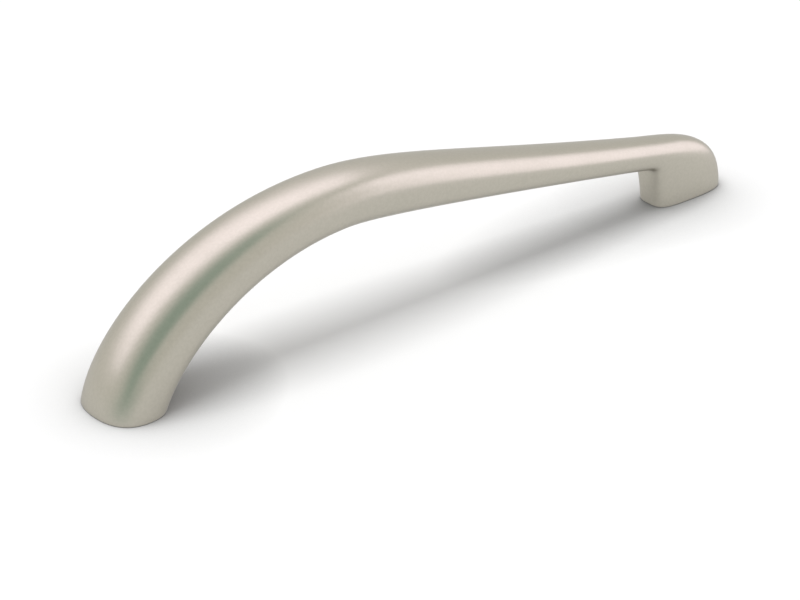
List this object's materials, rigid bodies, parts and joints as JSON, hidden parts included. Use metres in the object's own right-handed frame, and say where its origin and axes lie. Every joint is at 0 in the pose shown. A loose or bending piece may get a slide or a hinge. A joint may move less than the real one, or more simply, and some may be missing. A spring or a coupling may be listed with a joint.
{
  "type": "cabinet handle",
  "caption": "Asymmetric arched bow handle for a cabinet door or drawer: a thick leg sweeps up to a crown and a tapering grip runs down to a low rounded foot, tapped for screws from behind.",
  "frame": {"origin": "on the mounting plane, midway between the two screw holes", "axes": "+X from the arched leg to the low foot, +Z away from the door, Y across the handle"},
  "size_m": [0.1434, 0.0158, 0.0296],
  "materials": {
    "satin_nickel": "matt satin nickel plating on a zinc die-casting"
  },
  "bodies": {
    "root": {"handle": "satin_nickel"}
  },
  "joints": []
}
